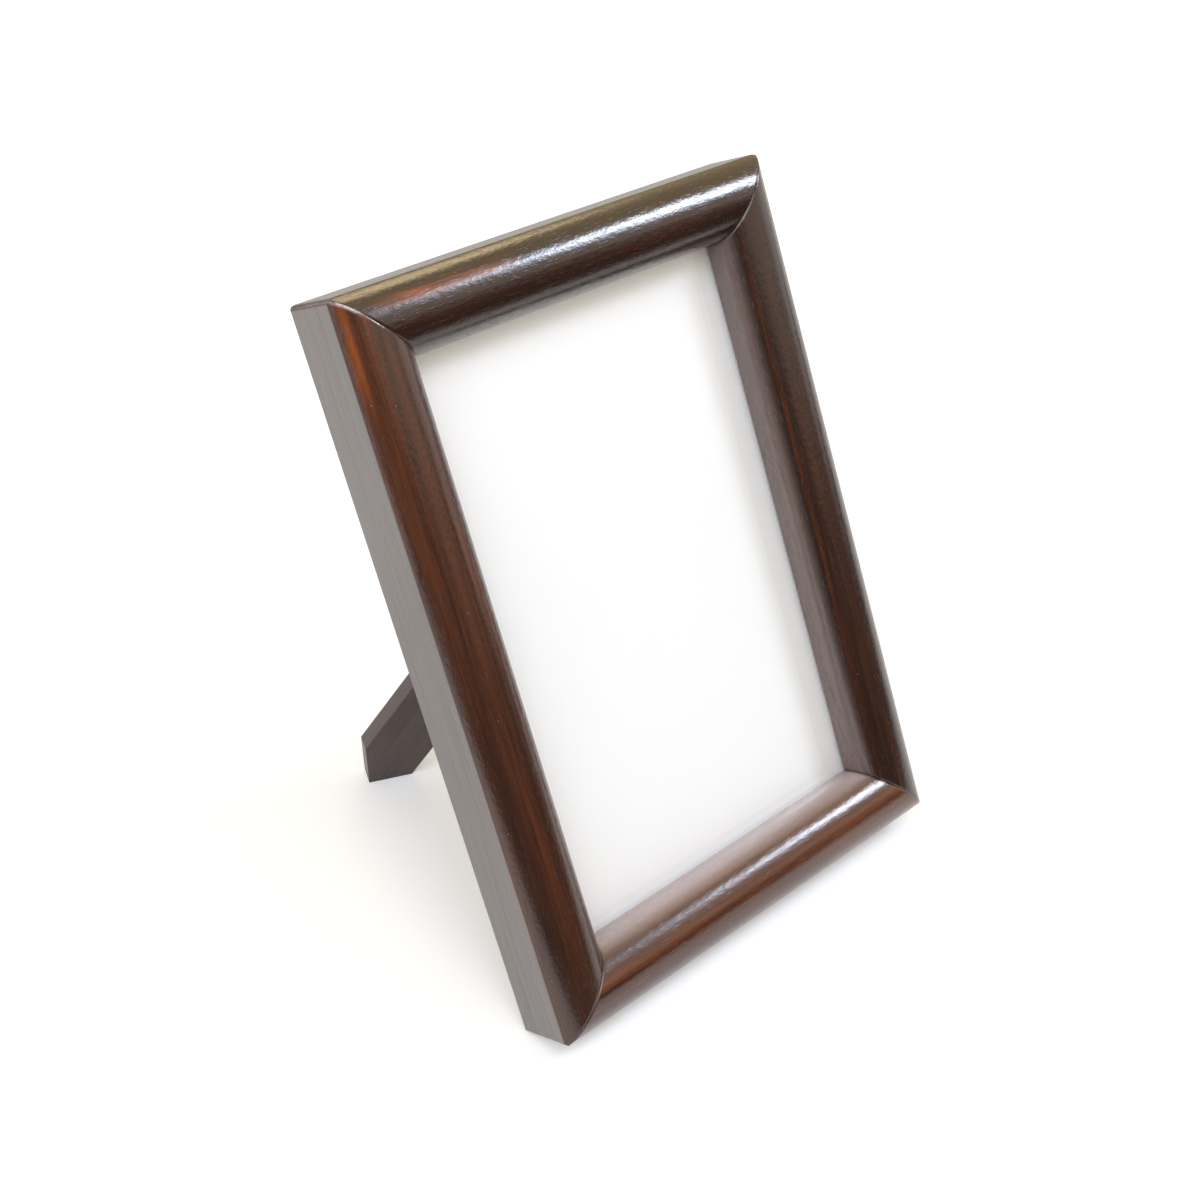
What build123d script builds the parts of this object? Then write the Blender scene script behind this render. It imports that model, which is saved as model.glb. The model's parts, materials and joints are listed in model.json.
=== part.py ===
"""Easel back photo frame: four mitred hardwood rails round a glazed print, closed by a back
board on turn buttons, and held up by a slanted wooden leg on a small butt hinge.

Everything is in millimetres. The frame leans back on the rear lower edge of its bottom rail
and on the foot of the leg. X runs across the frame, Y runs away from the viewer, Z runs up.
The origin is on the table, in the middle of the footprint.
"""

from build123d import *
from math import cos, radians, sin
import os

# What the frame is made to hold, and its play in the rabbet to each side and at each end
print_width = 101.6
print_height = 152.4
print_thickness = 0.25
print_side_clearance = 0.7
print_end_clearance = 0.3

# Moulding section, measured in from the outer edge and forward from the back, and its corners
lip_width = 4.0
rabbet_depth = 9.5
lip_edge_height = 2.2
bead_radius = 9.3
crown_inset = 8.7
shoulder_drop = 5.4
shoulder_radius = 1.0
back_edge_radius = 0.6
corner_radius = 1.8
corner_inset = 1.75

# Stack behind the lip
glazing_thickness = 2.0
air_gap = 0.05
card_thickness = 2.95
board_thickness = 4.0
panel_clearance = 0.3

# Stance and leg
lean_angle = 28.3
leg_opening = 46.0
leg_slant = 30.0
hinge_height = 110.7
hinge_offset = -1.9
leg_width = 20.0
leg_thickness = 5.0
leg_edge_radius = 0.5
foot_point_offset = -1.3
stop_clearance = 0.25

# Butt hinge
hinge_end_inset = 2.0
leaf_length = 12.0
leaf_thickness = 0.8
leaf_corner_radius = 1.0
hinge_pin_radius = 0.8
pin_clearance = 0.05
pin_head_radius = 1.3
pin_head_height = 0.5
knuckle_gap = 0.3
knuckle_relief_depth = 0.3
centre_knuckle_length = 5.6

# Countersunk screws in the hinge leaves
leaf_screw_head_radius = 1.7
leaf_screw_head_height = 0.8
leaf_screw_shank_radius = 0.9
leaf_screw_length = 4.0
leaf_screw_spacing = 9.0
leaf_screw_distance = 7.6

# Turn buttons and the round-head screws that they swivel on
button_pivot_radius = 4.0
button_tip_radius = 2.8
button_tongue_length = 12.0
button_thickness = 1.0
button_inset = 7.0
button_edge_radius = 0.2
button_clearance = 0.1
button_screw_head_radius = 2.2
button_screw_head_height = 1.2
button_screw_shank_radius = 1.2
button_screw_length = 9.0
button_bore_clearance = 0.05

# Cross recess and point, the same on both kinds of screw
recess_length_share = 0.55
recess_width_share = 0.14
recess_depth = 0.45
screw_point_share = 0.25

# Steel V-nails driven across each mitre from the back
nail_arm_length = 4.5
nail_thickness = 0.5
nail_depth = 7.0
nail_inset = 4.0
nail_spacing = 4.5

# Sizes that follow from the ones above
face_width = crown_inset + bead_radius
crown_height = rabbet_depth + lip_edge_height + bead_radius
side_depth = crown_height - shoulder_drop
rabbet_inset = face_width - lip_width
rabbet_width = print_width + 2 * print_side_clearance
rabbet_height = print_height + 2 * print_end_clearance
outer_width = rabbet_width + 2 * rabbet_inset
outer_height = rabbet_height + 2 * rabbet_inset
panel_width = rabbet_width - 2 * panel_clearance
panel_height = rabbet_height - 2 * panel_clearance
glazing_back = rabbet_depth - glazing_thickness
print_back = glazing_back - air_gap - print_thickness
card_back = print_back - card_thickness
board_back = card_back - board_thickness
outer_arc_radius = (crown_inset**2 + shoulder_drop**2) / (2 * shoulder_drop)
knuckle_radius = hinge_pin_radius + pin_clearance + leaf_thickness
half_leg = leg_width / 2
hinge_length = leg_width - 2 * hinge_end_inset

# Directions in the frame's own axes: across, up the stiles, and forward out of the picture
lean, opening, slant = radians(lean_angle), radians(leg_opening), radians(leg_slant)
up = Vector(0, cos(lean), sin(lean))
hinge_along = Vector(cos(slant), -sin(slant), 0)
folded_down = Vector(-sin(slant), -cos(slant), 0)
backward = Vector(0, 0, -1)
leg_down = folded_down * cos(opening) + backward * sin(opening)
leg_back = backward * cos(opening) - folded_down * sin(opening)
pin_point = Vector(hinge_offset, hinge_height, board_back - knuckle_radius)

# The table touches the rounded rear edge of the bottom rail, so the leg reaches down to it
table_height = back_edge_radius * (cos(lean) + sin(lean) - 1)
leg_face_point = pin_point + leg_back * knuckle_radius + hinge_along * foot_point_offset
foot_length = (table_height - leg_face_point.dot(up)) / leg_down.dot(up)
foot_point = leg_face_point + leg_down * foot_length
portrait_slope = hinge_along.dot(up) / leg_down.dot(up)

# With the frame turned on its left side the same foot stands on its other cut
side_reach = foot_point.X + outer_width / 2
side_normal = Vector(-foot_point.Z, 0, side_reach).normalized()
landscape_slope = hinge_along.dot(side_normal) / leg_down.dot(side_normal)

# Extent of the footprint, front to back, with Y measured from the frame's rear lower edge
front_extent = crown_inset * sin(lean) - (crown_height - outer_arc_radius) * cos(lean)
front_extent -= outer_arc_radius
rear_corner = foot_point + leg_back * leg_thickness
rear_extent = rear_corner.Y * sin(lean) - rear_corner.Z * cos(lean)
footprint_middle = (front_extent + rear_extent) / 2

# The frame's back plane: its X across, its Y up the stiles and its Z forward
frame_plane = Plane(
    origin=(0, -footprint_middle, -table_height),
    x_dir=(1, 0, 0),
    z_dir=(0, -cos(lean), sin(lean)),
)


def to_world(direction):
    """Turns a direction in the frame's own axes into one in the model's axes."""
    return frame_plane.from_local_coords(direction) - frame_plane.origin


def seat_plane(point, across, normal):
    """A plane through a point of the frame's own axes, with its X and Z in those axes."""
    return Plane(
        origin=frame_plane.from_local_coords(point),
        x_dir=to_world(across),
        z_dir=to_world(normal),
    )


board_leaf_plane = seat_plane(pin_point, -hinge_along, -backward)
leg_leaf_plane = seat_plane(pin_point, hinge_along, leg_back)


def panel(name, width, height, back, thickness):
    """A flat rectangular sheet held in the rabbet, its back face at a given depth."""
    with BuildPart() as sheet:
        with BuildSketch(frame_plane.offset(back)):
            with Locations((0, outer_height / 2)):
                Rectangle(width, height)
        extrude(amount=thickness)
    sheet.part.label = name
    return sheet


def wood_screw(head_radius, head_height, shank_radius, length, countersunk, recessed):
    """A wood screw that starts at the origin and is driven along +Z, with a cross recess or not.

    The length is what goes into the work: it takes in a countersunk head but not a round one.
    """
    point_start = length * (1 - screw_point_share)
    crown = 0 if countersunk else -head_height
    with BuildPart() as screw:
        with BuildSketch(Plane.XZ):
            with BuildLine():
                if countersunk:
                    Line((0, 0), (head_radius, 0))
                    Line((head_radius, 0), (shank_radius, head_height))
                    Line((shank_radius, head_height), (shank_radius, point_start))
                else:
                    TangentArc((0, crown), (head_radius, 0), tangent=(1, 0))
                    Line((head_radius, 0), (shank_radius, 0))
                    Line((shank_radius, 0), (shank_radius, point_start))
                Line((shank_radius, point_start), (0, length))
                Line((0, length), (0, crown))
            make_face()
        revolve(axis=Axis.Z)
        if recessed:
            recess_length = 2 * head_radius * recess_length_share
            recess_width = 2 * head_radius * recess_width_share
            with BuildSketch(Plane.XY.offset(crown)):
                Rectangle(recess_length, recess_width)
                Rectangle(recess_width, recess_length)
            extrude(amount=recess_depth, mode=Mode.SUBTRACT)
    return screw


def rail_seat(quarter):
    """The middle of the back plane, turned so that one rail's outer edge is on the -Y side.

    Half of that rail's length and its outer edge's distance from the middle come with it.
    """
    half_sizes = (outer_width / 2, outer_height / 2)
    middle = frame_plane.location * Location((0, outer_height / 2, 0), (0, 0, 90 * quarter))
    return middle, half_sizes[quarter % 2], half_sizes[1 - quarter % 2]


os.makedirs("parts", exist_ok=True)
rail_names = ("bottom_rail", "right_stile", "top_rail", "left_stile")
corner_names = ("bottom_left", "bottom_right", "top_right", "top_left")
side_names = ("bottom", "right", "top", "left")
fasteners = []

# Steel V-nails, flush with the back, two across each mitre
nail_insets = {"outer": nail_inset, "inner": nail_inset + nail_spacing}
for quarter, corner_name in enumerate(corner_names):
    middle, half_run, half_rise = rail_seat(quarter)
    for rank, inset in nail_insets.items():
        corner = middle * Location((inset - half_run, inset - half_rise, 0))
        with BuildPart() as v_nail:
            with BuildSketch(Plane(corner)):
                Rectangle(nail_arm_length, nail_thickness, align=(Align.MIN, Align.MIN))
                Rectangle(nail_thickness, nail_arm_length, align=(Align.MIN, Align.MIN))
            extrude(amount=nail_depth)
        v_nail.part.label = f"v_nail_{corner_name}_{rank}"
        export_step(v_nail.part, f"parts/{v_nail.part.label}.step")
        fasteners.append(v_nail)

# Turn buttons, one on a round-head screw at the middle of each rail, its tongue over the board
button_screw = wood_screw(
    button_screw_head_radius,
    button_screw_head_height,
    button_screw_shank_radius,
    button_screw_length,
    countersunk=False,
    recessed=True,
)
screw_seat_height = button_thickness + 2 * button_clearance
for quarter, side in enumerate(side_names):
    middle, half_run, half_rise = rail_seat(quarter)
    pivot = middle * Location((0, button_inset - half_rise, 0))
    turned = Plane(pivot * Location((0, 0, -button_clearance), (0, 180, 0)))
    with BuildPart() as turn_button:
        with BuildSketch(turned):
            with BuildLine():
                CenterArc((0, 0), button_pivot_radius, 180, 180)
                CenterArc((0, button_tongue_length), button_tip_radius, 0, 180)
                Line((button_pivot_radius, 0), (button_tip_radius, button_tongue_length))
                Line((-button_pivot_radius, 0), (-button_tip_radius, button_tongue_length))
            make_face()
            Circle(button_screw_shank_radius + button_bore_clearance, mode=Mode.SUBTRACT)
        extrude(amount=button_thickness)
        top_face = turn_button.faces().sort_by(Axis(turned.origin, turned.z_dir))[-1]
        fillet(top_face.outer_wire().edges(), button_edge_radius)
    turn_button.part.label = f"turn_button_{side}"
    export_step(turn_button.part, f"parts/{turn_button.part.label}.step")
    with BuildPart() as placed_screw:
        with Locations(pivot * Location((0, 0, -screw_seat_height))):
            add(button_screw.part)
    placed_screw.part.label = f"turn_button_screw_{side}"
    export_step(placed_screw.part, f"parts/{placed_screw.part.label}.step")
    fasteners.append(placed_screw)

# Four lengths of one moulding, mitred at both ends, with the frame's outer corners rounded
for quarter, rail_name in enumerate(rail_names):
    middle, half_run, half_rise = rail_seat(quarter)
    start = Plane(middle * Location((-half_run, -half_rise, 0)))
    end = Plane(middle * Location((half_run, -half_rise, 0)))
    with BuildPart() as rail:
        with BuildSketch(Plane(origin=start.origin, x_dir=start.y_dir, z_dir=start.x_dir)):
            with BuildLine():
                Line((0, 0), (0, side_depth))
                TangentArc((crown_inset, crown_height), (0, side_depth), tangent=(-1, 0))
                TangentArc(
                    (crown_inset, crown_height),
                    (face_width, crown_height - bead_radius),
                    tangent=(1, 0),
                )
                Polyline(
                    (face_width, crown_height - bead_radius),
                    (face_width, rabbet_depth),
                    (rabbet_inset, rabbet_depth),
                    (rabbet_inset, 0),
                    (0, 0),
                )
            section = make_face()
            outer_points = section.vertices().group_by(Axis.X)[0].sort_by(Axis.Y)
            fillet(outer_points[0], back_edge_radius)
            fillet(outer_points[-1], shoulder_radius)
        extrude(amount=2 * half_run)
        for corner, inward in ((start, 1), (end, -1)):
            along = corner.x_dir * inward
            split(bisect_by=Plane(corner.origin, corner.z_dir, along - corner.y_dir))
        with BuildSketch(Plane(middle)):
            with Locations((-half_run, -half_rise), (half_run, -half_rise)):
                Rectangle(2 * corner_inset, 2 * corner_inset)
            round_run, round_rise = half_run - corner_inset, half_rise - corner_inset
            with Locations((-round_run, -round_rise), (round_run, -round_rise)):
                Circle(corner_radius, mode=Mode.SUBTRACT)
        extrude(amount=crown_height, both=True, mode=Mode.SUBTRACT)
        for fastener in fasteners:
            add(fastener.part, mode=Mode.SUBTRACT)
    rail.part.label = rail_name
    export_step(rail.part, f"parts/{rail_name}.step")

glazing = panel("glazing", panel_width, panel_height, glazing_back, glazing_thickness)
export_step(glazing.part, "parts/glazing.step")

blank_print = panel("blank_print", print_width, print_height, print_back, print_thickness)
export_step(blank_print.part, "parts/blank_print.step")

backing_card = panel("backing_card", panel_width, panel_height, card_back, card_thickness)
export_step(backing_card.part, "parts/backing_card.step")


# A leaf's screw, and the same form without its recess, which cuts the hole that it sits in
leaf_screw_sizes = (
    leaf_screw_head_radius,
    leaf_screw_head_height,
    leaf_screw_shank_radius,
    leaf_screw_length,
)
leaf_screw = wood_screw(*leaf_screw_sizes, countersunk=True, recessed=True)
leaf_screw_hole = wood_screw(*leaf_screw_sizes, countersunk=True, recessed=False)


def leaf_screw_places(leaf_plane):
    """Where a leaf's two screws start: on its inner face, driven towards the wood."""
    face = leaf_plane.offset(knuckle_radius - leaf_thickness).location
    half_spacing = leaf_screw_spacing / 2
    return [face * Location((x, leaf_screw_distance, 0)) for x in (-half_spacing, half_spacing)]


def hinge_leaf(leaf_plane, outer_knuckles, name):
    """A rolled leaf: a plate on the +Z side of the pin, and one or two knuckles round it."""
    section_plane = Plane(
        origin=leaf_plane.origin, x_dir=leaf_plane.y_dir, z_dir=leaf_plane.x_dir
    )
    centre_slot = centre_knuckle_length + 2 * knuckle_gap
    plate_start = knuckle_radius + knuckle_gap
    with BuildPart() as leaf:
        with BuildSketch(section_plane.offset(-hinge_length / 2)):
            Circle(knuckle_radius)
            with Locations((0, knuckle_radius)):
                Rectangle(leaf_length, leaf_thickness, align=(Align.MIN, Align.MAX))
            Circle(knuckle_radius - leaf_thickness, mode=Mode.SUBTRACT)
        extrude(amount=hinge_length)
        corners = leaf.edges().filter_by(Axis(leaf_plane.origin, leaf_plane.z_dir))
        reach_axis = Axis(leaf_plane.origin, leaf_plane.y_dir)
        fillet(corners.group_by(reach_axis)[-1], leaf_corner_radius)
        clearing = plate_start + knuckle_radius
        near_pin = (Align.CENTER, Align.MAX, Align.CENTER)
        with Locations(Plane(leaf_plane.location * Location((0, plate_start, 0)))):
            if outer_knuckles:
                Box(centre_slot, clearing, clearing, align=near_pin, mode=Mode.SUBTRACT)
            else:
                side_length = (hinge_length - centre_knuckle_length) / 2
                side_middle = (hinge_length + centre_knuckle_length) / 4
                with Locations((-side_middle, 0), (side_middle, 0)):
                    Box(side_length, clearing, clearing, align=near_pin, mode=Mode.SUBTRACT)
        with Locations(*leaf_screw_places(leaf_plane)):
            add(leaf_screw_hole.part, mode=Mode.SUBTRACT)
    leaf.part.label = name
    return leaf


for leaf_name, leaf_plane in (("board", board_leaf_plane), ("leg", leg_leaf_plane)):
    for place, rank in zip(leaf_screw_places(leaf_plane), ("a", "b")):
        with BuildPart() as placed_screw:
            with Locations(place):
                add(leaf_screw.part)
        placed_screw.part.label = f"{leaf_name}_leaf_screw_{rank}"
        export_step(placed_screw.part, f"parts/{placed_screw.part.label}.step")
board_leaf = hinge_leaf(board_leaf_plane, True, "hinge_board_leaf")
export_step(board_leaf.part, "parts/hinge_board_leaf.step")
leg_leaf = hinge_leaf(leg_leaf_plane, False, "hinge_leg_leaf")
export_step(leg_leaf.part, "parts/hinge_leg_leaf.step")

pin_plane = Plane(
    origin=board_leaf_plane.origin, x_dir=board_leaf_plane.y_dir, z_dir=board_leaf_plane.x_dir
)
with BuildPart() as hinge_pin:
    with Locations(pin_plane):
        Cylinder(hinge_pin_radius, hinge_length)
    for end_plane in (pin_plane, Plane(pin_plane.origin, pin_plane.x_dir, -pin_plane.z_dir)):
        with Locations(end_plane.offset(hinge_length / 2)):
            Cylinder(
                pin_head_radius, pin_head_height, align=(Align.CENTER, Align.CENTER, Align.MIN)
            )
hinge_pin.part.label = "hinge_pin"
export_step(hinge_pin.part, "parts/hinge_pin.step")

# Back board, with the hinge screwed to it and a shallow groove that the knuckles turn in
relief_length = hinge_length + 2 * (pin_head_height + knuckle_gap)
with BuildPart() as back_board:
    with BuildSketch(frame_plane.offset(board_back)):
        with Locations((0, outer_height / 2)):
            Rectangle(panel_width, panel_height)
    extrude(amount=board_thickness)
    with Locations(pin_plane):
        Cylinder(knuckle_radius + knuckle_relief_depth, relief_length, mode=Mode.SUBTRACT)
    with Locations(*leaf_screw_places(board_leaf_plane)):
        add(leaf_screw_hole.part, mode=Mode.SUBTRACT)
back_board.part.label = "back_board"
export_step(back_board.part, "parts/back_board.step")

# Leg: its foot is cut to a point with one edge for each way up, and its top is bevelled to
# stop flat against the back board when it is fully open
heel_overrun = 2 * leg_width
foot_right = foot_length - portrait_slope * (half_leg - foot_point_offset)
foot_left = foot_length + landscape_slope * (half_leg + foot_point_offset)
with BuildPart() as easel_leg:
    with BuildSketch(leg_leaf_plane.offset(knuckle_radius)):
        with BuildLine():
            Polyline(
                (-half_leg, -heel_overrun),
                (half_leg, -heel_overrun),
                (half_leg, foot_right),
                (foot_point_offset, foot_length),
                (-half_leg, foot_left),
                close=True,
            )
        make_face()
    extrude(amount=leg_thickness)
    long_edges = easel_leg.edges().filter_by(Axis(leg_leaf_plane.origin, leg_leaf_plane.y_dir))
    fillet(long_edges, leg_edge_radius)
    split(bisect_by=frame_plane.offset(board_back - stop_clearance), keep=Keep.BOTTOM)
    with Locations(pin_plane):
        Cylinder(knuckle_radius + knuckle_relief_depth, 2 * leg_width, mode=Mode.SUBTRACT)
    with Locations(*leaf_screw_places(leg_leaf_plane)):
        add(leaf_screw_hole.part, mode=Mode.SUBTRACT)
easel_leg.part.label = "easel_leg"
export_step(easel_leg.part, "parts/easel_leg.step")
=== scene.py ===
"""Finishes, light and camera for the easel back photo frame.

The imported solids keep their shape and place. Each gets a procedural finish of its own: dark
mahogany under satin lacquer, float glass over a blank white sheet, a stained hardboard back and
small brass hardware. All lengths are in metres.
"""

from __future__ import annotations

import json
import logging
import math
from dataclasses import dataclass, field
from enum import Enum
from typing import Sequence, Union

import bpy
from mathutils import Matrix, Vector


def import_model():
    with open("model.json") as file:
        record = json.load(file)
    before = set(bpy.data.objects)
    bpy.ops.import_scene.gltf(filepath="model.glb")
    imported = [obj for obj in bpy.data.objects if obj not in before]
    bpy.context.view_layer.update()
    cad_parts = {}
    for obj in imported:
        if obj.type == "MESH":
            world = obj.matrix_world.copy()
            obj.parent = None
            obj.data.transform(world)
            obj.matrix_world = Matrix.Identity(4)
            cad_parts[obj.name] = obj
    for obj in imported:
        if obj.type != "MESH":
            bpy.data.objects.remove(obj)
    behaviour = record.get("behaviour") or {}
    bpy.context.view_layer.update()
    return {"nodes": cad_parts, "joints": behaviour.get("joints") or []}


LOG = logging.getLogger("photo_frame")
MILLIMETRE = 0.001
WHITE = (1.0, 1.0, 1.0)
Colour = tuple[float, float, float]
Pair = tuple[float, float]
Operand = Union["Value", float]


class RailSide(Enum):
    """Which side of the frame a length of moulding is on, as (across, up) from the middle."""

    BOTTOM = (0, -1)
    RIGHT = (1, 0)
    TOP = (0, 1)
    LEFT = (-1, 0)


class Value:
    """A shader socket that takes part in Python arithmetic."""

    def __init__(self, graph: "Graph", socket: bpy.types.NodeSocket) -> None:
        """Wraps a socket.

        Args:
            graph: The graph that the socket belongs to.
            socket: The output socket.
        """
        self.graph = graph
        self.socket = socket

    def __add__(self, other: Operand) -> "Value":
        """Returns the sum."""
        return self.graph.maths("ADD", self, other)

    def __radd__(self, other: Operand) -> "Value":
        """Returns the sum with a number on the left."""
        return self.graph.maths("ADD", other, self)

    def __sub__(self, other: Operand) -> "Value":
        """Returns the difference."""
        return self.graph.maths("SUBTRACT", self, other)

    def __rsub__(self, other: Operand) -> "Value":
        """Returns a number less this value."""
        return self.graph.maths("SUBTRACT", other, self)

    def __mul__(self, other: Operand) -> "Value":
        """Returns the product."""
        return self.graph.maths("MULTIPLY", self, other)

    def __rmul__(self, other: Operand) -> "Value":
        """Returns the product with a number on the left."""
        return self.graph.maths("MULTIPLY", other, self)

    def __truediv__(self, other: Operand) -> "Value":
        """Returns the quotient."""
        return self.graph.maths("DIVIDE", self, other)

    def __abs__(self) -> "Value":
        """Returns the size without its sign."""
        return self.graph.maths("ABSOLUTE", self)

    def at_least(self, other: Operand) -> "Value":
        """Returns the larger of the two."""
        return self.graph.maths("MAXIMUM", self, other)

    def rise(self, low: float, high: float) -> "Value":
        """Returns a smooth step from 0 at one value to 1 at the other.

        Args:
            low: Where the step is 0.
            high: Where the step is 1. It may be the lower number, for a falling step.

        Returns:
            The step, between 0 and 1.
        """
        sockets = {"Value": self, "From Min": low, "From Max": high}
        node = self.graph.node("ShaderNodeMapRange", {"interpolation_type": "SMOOTHSTEP"}, sockets)
        return Value(self.graph, node.outputs["Result"])


class Graph:
    """The empty node tree of one material or world, with the few kinds of step that it needs."""

    def __init__(self, owner: bpy.types.Material | bpy.types.World) -> None:
        """Clears the owner's nodes.

        Args:
            owner: The material or world.
        """
        owner.use_nodes = True
        self.owner = owner
        self.tree = owner.node_tree
        self.tree.nodes.clear()

    @classmethod
    def for_material(cls, name: str) -> "Graph":
        """Returns the graph of a new material of that name."""
        return cls(bpy.data.materials.new(name))

    def node(
        self,
        kind: str,
        settings: dict[str, object] | None = None,
        sockets: dict[str | int, object] | None = None,
    ) -> bpy.types.Node:
        """Adds a node.

        Args:
            kind: The node's type.
            settings: Its properties, set first.
            sockets: A value or a link for each named or numbered input.

        Returns:
            The new node.
        """
        node = self.tree.nodes.new(kind)
        for key, setting in (settings or {}).items():
            setattr(node, key, setting)
        for key, given in (sockets or {}).items():
            if isinstance(given, Value):
                self.tree.links.new(given.socket, node.inputs[key])
            elif isinstance(given, bpy.types.NodeSocket):
                self.tree.links.new(given, node.inputs[key])
            else:
                node.inputs[key].default_value = given
        return node

    def maths(self, operation: str, *operands: Operand) -> Value:
        """Works one arithmetic step out on values.

        Args:
            operation: The Math node's operation.
            *operands: Its inputs.

        Returns:
            The result.
        """
        node = self.node("ShaderNodeMath", {"operation": operation}, dict(enumerate(operands)))
        return Value(self, node.outputs[0])

    def stretched(self, vector: Value, scale: tuple[float, float, float], seed: float) -> Value:
        """Scales a position along each axis and shifts it, so that patterns don't repeat.

        Args:
            vector: The position.
            scale: Repeats to the metre along each axis.
            seed: The shift, the same on every axis.

        Returns:
            The new position.
        """
        sockets = {0: vector, 1: scale, 2: (seed, seed, seed)}
        node = self.node("ShaderNodeVectorMath", {"operation": "MULTIPLY_ADD"}, sockets)
        return Value(self, node.outputs["Vector"])

    def scatter(self, vector: Value) -> Value:
        """Returns the distance from the nearest of some scattered points, one to the unit."""
        node = self.node("ShaderNodeTexVoronoi", None, {"Vector": vector, "Scale": 1.0})
        return Value(self, node.outputs["Distance"])

    def ramp(self, factor: Value, stops: Sequence[tuple[float, Colour]]) -> Value:
        """Turns a value into a colour.

        Args:
            factor: The value, from 0 to 1.
            stops: A place and a colour for each stop.

        Returns:
            The colour.
        """
        node = self.node("ShaderNodeValToRGB", None, {"Fac": factor})
        elements = node.color_ramp.elements
        while len(elements) < len(stops):
            elements.new(1.0)
        for element, (place, colour) in zip(elements, stops):
            element.position = place
            element.color = (*colour, 1.0)
        return Value(self, node.outputs["Color"])

    def blend(self, factor: Operand, base: Value | Colour, over: Value | Colour) -> Value:
        """Lays one colour over another.

        Args:
            factor: How much of the upper colour shows.
            base: The lower colour.
            over: The upper colour.

        Returns:
            The mixed colour.
        """
        colours = [c if isinstance(c, Value) else (*c, 1.0) for c in (base, over)]
        sockets = {0: factor, 6: colours[0], 7: colours[1]}
        node = self.node("ShaderNodeMix", {"data_type": "RGBA"}, sockets)
        return Value(self, node.outputs[2])

    def split(self, vector: Value) -> tuple[Value, Value, Value]:
        """Returns the three parts of a position."""
        node = self.node("ShaderNodeSeparateXYZ", None, {"Vector": vector})
        return tuple(Value(self, node.outputs[name]) for name in "XYZ")

    def facing(self, vector: Value, towards: Vector) -> Value:
        """Returns how far a direction points towards another, from -1 to 1."""
        settings = {"operation": "DOT_PRODUCT"}
        node = self.node("ShaderNodeVectorMath", settings, {0: vector, 1: towards})
        return Value(self, node.outputs["Value"])

    def place(self, kind: str = "Object") -> Value:
        """Gives the place that is being shaded.

        Args:
            kind: "Object" for a point in the object's own axes, or "Generated" for a way out.

        Returns:
            The point or the way.
        """
        return Value(self, self.node("ShaderNodeTexCoord").outputs[kind])

    def seen_by(self, *kinds: str) -> Value:
        """Tells which rays see the surface.

        Args:
            *kinds: Names of the Light Path outputs.

        Returns:
            1 for a ray of any of those kinds, otherwise 0.
        """
        rays = self.node("ShaderNodeLightPath")
        found = Value(self, rays.outputs[kinds[0]])
        for kind in kinds[1:]:
            found = found.at_least(Value(self, rays.outputs[kind]))
        return found

    def relief(self, height: Value, depth: float) -> Value:
        """Turns a height into a shading normal.

        Args:
            height: The height, from 0 to about 1.
            depth: What a height of 1 stands for.

        Returns:
            The normal.
        """
        sockets = {"Height": height, "Distance": depth, "Strength": 1.0}
        return Value(self, self.node("ShaderNodeBump", None, sockets).outputs["Normal"])

    def shader(self, kind: str, sockets: dict[str, object]) -> bpy.types.NodeSocket:
        """Adds a shader and returns its output.

        Args:
            kind: The node's type.
            sockets: Its values and links.

        Returns:
            The shader's output socket.
        """
        return self.node(kind, None, sockets).outputs[0]

    def glow(self, kind: str, colour: Colour, strength: float = 1.0) -> bpy.types.NodeSocket:
        """Adds an even light of one colour.

        Args:
            kind: The type of an emission or background node.
            colour: The light's colour.
            strength: How strong it is.

        Returns:
            The shader's output socket.
        """
        return self.shader(kind, {"Color": (*colour, 1.0), "Strength": strength})

    def either(
        self, factor: Value, base: bpy.types.NodeSocket, over: bpy.types.NodeSocket
    ) -> bpy.types.NodeSocket:
        """Mixes two shaders.

        Args:
            factor: How much of the second one shows.
            base: The first shader.
            over: The second shader.

        Returns:
            The mixed shader's output socket.
        """
        return self.shader("ShaderNodeMixShader", {0: factor, 1: base, 2: over})

    def end(self, kind: str, surface: bpy.types.NodeSocket) -> bpy.types.Material | bpy.types.World:
        """Ends the graph.

        Args:
            kind: The type of the output node.
            surface: The shader that it shows.

        Returns:
            The material or world that owns the graph.
        """
        self.node(kind, None, {"Surface": surface})
        return self.owner

    def finish(self, sockets: dict[str, object]) -> bpy.types.Material:
        """Ends the material with one Principled shader.

        Args:
            sockets: The shader's values and links.

        Returns:
            The finished material.
        """
        shader = self.shader("ShaderNodeBsdfPrincipled", sockets)
        return self.end("ShaderNodeOutputMaterial", shader)


@dataclass(frozen=True)
class Layer:
    """One layer of soft noise, drawn out along the grain or brushing.

    Attributes:
        along: Features to the metre along it.
        across: Features to the metre across it.
        detail: How many finer layers it has.
        roughness: How strong those are.
        distortion: How far it is folded into itself.
        weight: What it is multiplied by.
        shift: How far it is from other layers of the same piece.
    """

    along: float
    across: float
    detail: float
    roughness: float
    distortion: float = 0.0
    weight: float = 1.0
    shift: float = 0.0

    def draw(self, graph: Graph, place: Value, seed: float = 0.0) -> Value:
        """Samples the layer.

        Args:
            graph: The graph of the finish.
            place: The position as (along, across, out).
            seed: Sets one piece's pattern apart from the next.

        Returns:
            The noise, with a mean of about half the weight.
        """
        scale = (self.along, self.across, self.across)
        sockets = {
            "Vector": graph.stretched(place, scale, seed + self.shift),
            "Scale": 1.0,
            "Detail": self.detail,
            "Roughness": self.roughness,
            "Distortion": self.distortion,
        }
        noise = graph.node("ShaderNodeTexNoise", None, sockets).outputs["Fac"]
        return Value(graph, noise) * self.weight


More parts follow.
